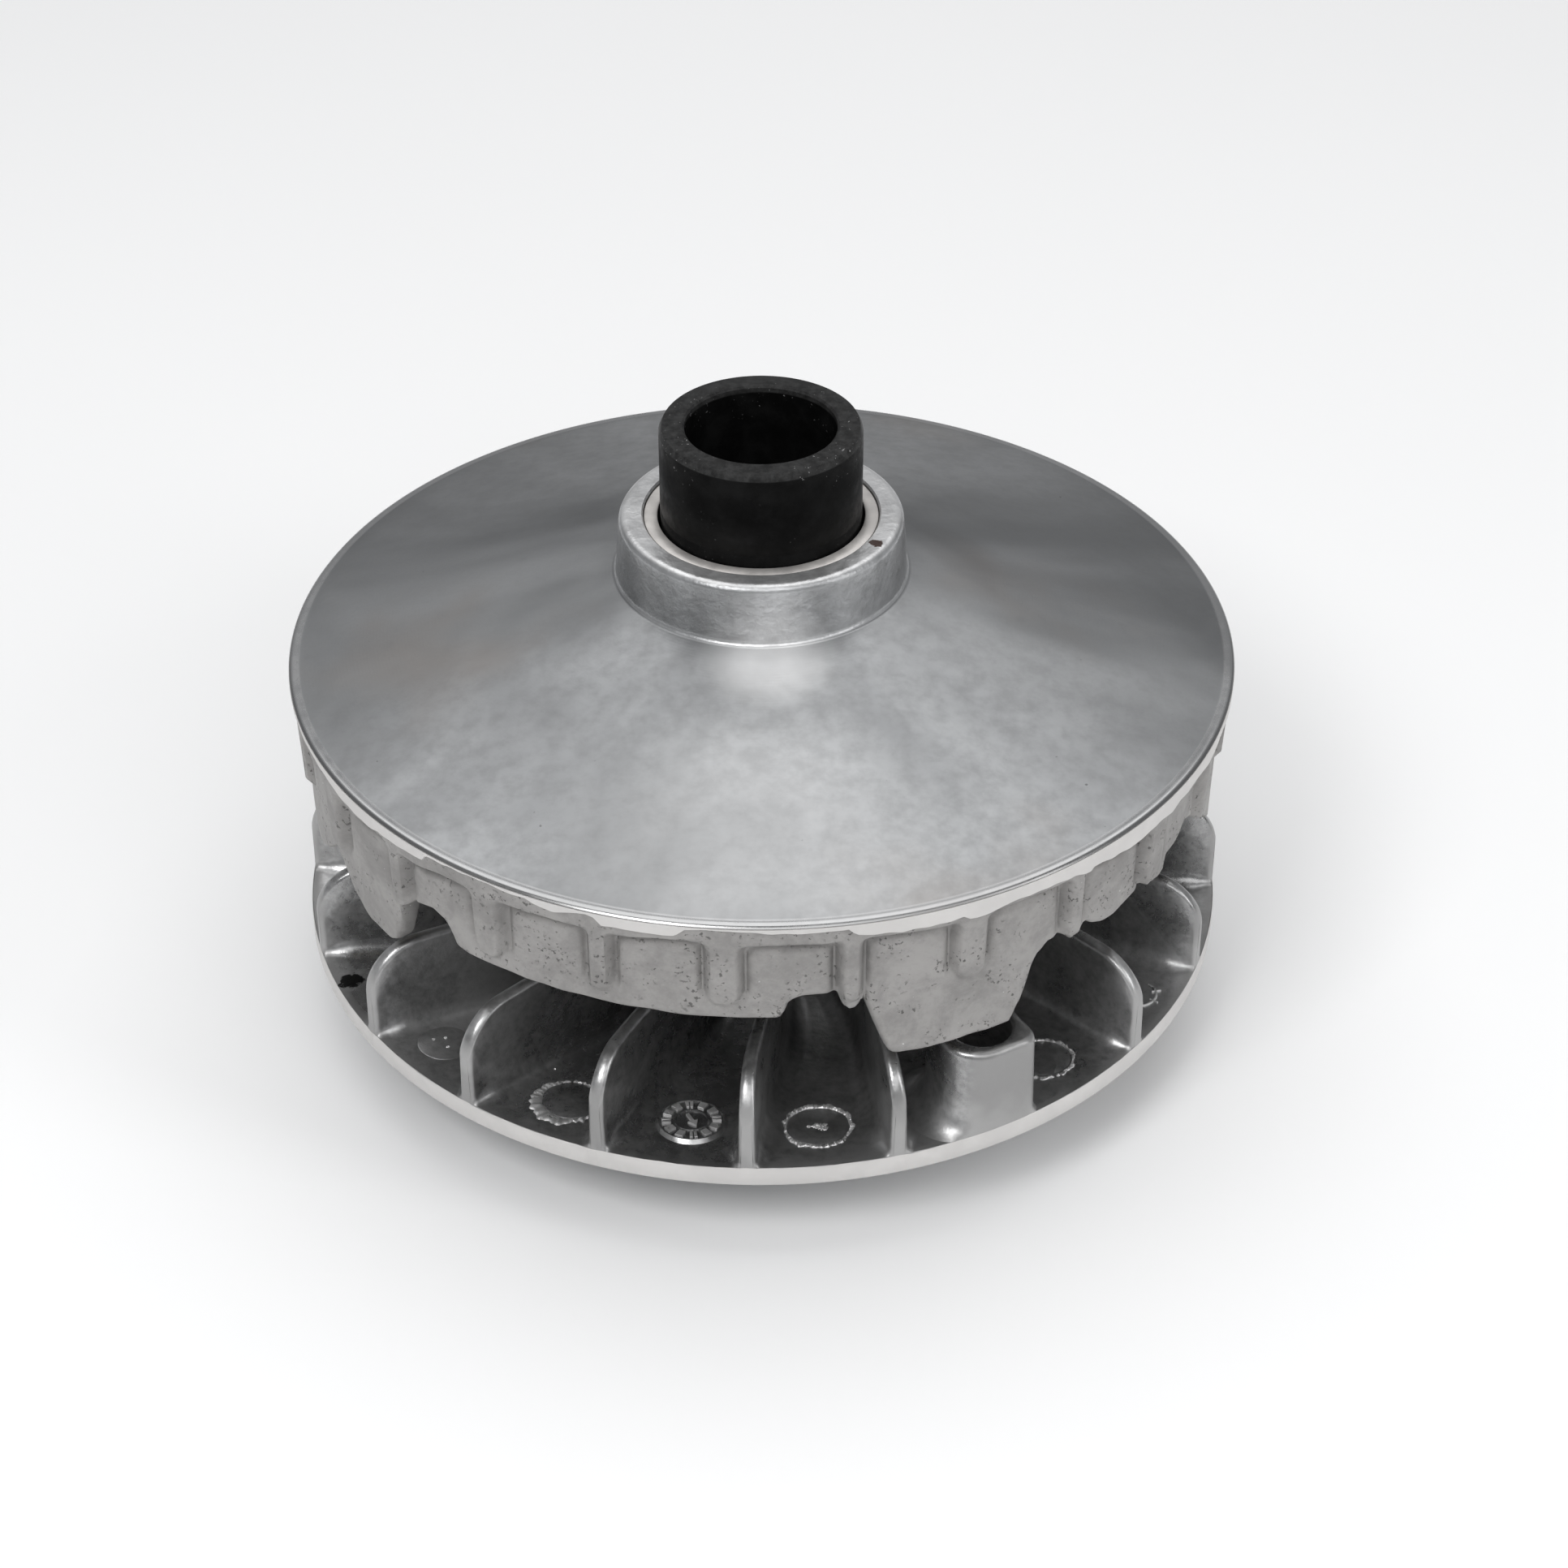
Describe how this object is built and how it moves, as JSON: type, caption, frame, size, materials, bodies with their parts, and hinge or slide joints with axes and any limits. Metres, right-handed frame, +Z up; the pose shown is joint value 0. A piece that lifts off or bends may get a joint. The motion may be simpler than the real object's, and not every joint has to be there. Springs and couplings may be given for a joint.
{
  "type": "cvt pulley set",
  "caption": "Driving pulley set of a belt transmission: fan sheave, cone-faced sliding sheave on a sleeve, and roller weights on a cam plate.",
  "frame": {"origin": "on the axis, at the hub end face of the fan sheave, which the set stands on", "axes": "+Z up along the axis towards the sleeve's free end; -Y is the front, beside the left of the holding-tool boss"},
  "size_m": [0.19, 0.19, 0.1295],
  "materials": {
    "cast_aluminium_dark": "shiny die-cast surface, machined rim edge",
    "cast_aluminium": "satin machined cone, matt raw-cast skirt",
    "machined_steel": "turned and splined steel",
    "seal_case": "bare steel seal case with a black rubber lip",
    "black_steel": "ground and blackened",
    "plate_steel": "pressed steel plate",
    "bronze": "bronze-backed bush",
    "brass": "turned brass",
    "slider_plastic": "natural nylon",
    "roller_plastic": "moulded nylon"
  },
  "bodies": {
    "fan_side": {"fan_sheave": "cast_aluminium_dark", "fan_hub_insert": "machined_steel"},
    "drive_core": {"sleeve": "black_steel", "cam_plate": "plate_steel", "slider_1": "slider_plastic", "slider_2": "slider_plastic", "slider_3": "slider_plastic", "slider_4": "slider_plastic"},
    "sliding_side": {"sliding_sheave": "cast_aluminium", "bush_upper": "bronze", "bush_lower": "bronze", "seal_upper": "seal_case", "seal_lower": "seal_case"},
    "roller_1": {"roller_shell_1": "roller_plastic", "roller_core_1": "brass"},
    "roller_2": {"roller_shell_2": "roller_plastic", "roller_core_2": "brass"},
    "roller_3": {"roller_shell_3": "roller_plastic", "roller_core_3": "brass"},
    "roller_4": {"roller_shell_4": "roller_plastic", "roller_core_4": "brass"},
    "roller_5": {"roller_shell_5": "roller_plastic", "roller_core_5": "brass"},
    "roller_6": {"roller_shell_6": "roller_plastic", "roller_core_6": "brass"},
    "roller_7": {"roller_shell_7": "roller_plastic", "roller_core_7": "brass"},
    "roller_8": {"roller_shell_8": "roller_plastic", "roller_core_8": "brass"}
  },
  "joints": [
    {"name": "drive_core_lift", "type": "slide", "parent": "fan_side", "child": "drive_core", "axis": [0, 0, 1], "range_m": [0, 0.06]},
    {"name": "sheave_slide", "type": "slide", "parent": "drive_core", "child": "sliding_side", "axis": [0, 0, 1], "range_m": [0, 0.014]},
    {"name": "roller_1_slide", "type": "slide", "parent": "drive_core", "child": "roller_1", "axis": [0.0164, -0.9395, 0.342], "range_m": [0, 0.0239]},
    {"name": "roller_2_slide", "type": "slide", "parent": "drive_core", "child": "roller_2", "axis": [0.676, -0.6528, 0.342], "range_m": [0, 0.0239]},
    {"name": "roller_3_slide", "type": "slide", "parent": "drive_core", "child": "roller_3", "axis": [0.9395, 0.0164, 0.342], "range_m": [0, 0.0239]},
    {"name": "roller_4_slide", "type": "slide", "parent": "drive_core", "child": "roller_4", "axis": [0.6528, 0.676, 0.342], "range_m": [0, 0.0239]},
    {"name": "roller_5_slide", "type": "slide", "parent": "drive_core", "child": "roller_5", "axis": [-0.0164, 0.9395, 0.342], "range_m": [0, 0.0239]},
    {"name": "roller_6_slide", "type": "slide", "parent": "drive_core", "child": "roller_6", "axis": [-0.676, 0.6528, 0.342], "range_m": [0, 0.0239]},
    {"name": "roller_7_slide", "type": "slide", "parent": "drive_core", "child": "roller_7", "axis": [-0.9395, -0.0164, 0.342], "range_m": [0, 0.0239]},
    {"name": "roller_8_slide", "type": "slide", "parent": "drive_core", "child": "roller_8", "axis": [-0.6528, -0.676, 0.342], "range_m": [0, 0.0239]}
  ],
  "couplings": [
    {"joint": "roller_1_slide", "follows": "sheave_slide", "ratio": 1.7042},
    {"joint": "roller_2_slide", "follows": "sheave_slide", "ratio": 1.7042},
    {"joint": "roller_3_slide", "follows": "sheave_slide", "ratio": 1.7042},
    {"joint": "roller_4_slide", "follows": "sheave_slide", "ratio": 1.7042},
    {"joint": "roller_5_slide", "follows": "sheave_slide", "ratio": 1.7042},
    {"joint": "roller_6_slide", "follows": "sheave_slide", "ratio": 1.7042},
    {"joint": "roller_7_slide", "follows": "sheave_slide", "ratio": 1.7042},
    {"joint": "roller_8_slide", "follows": "sheave_slide", "ratio": 1.7042}
  ]
}
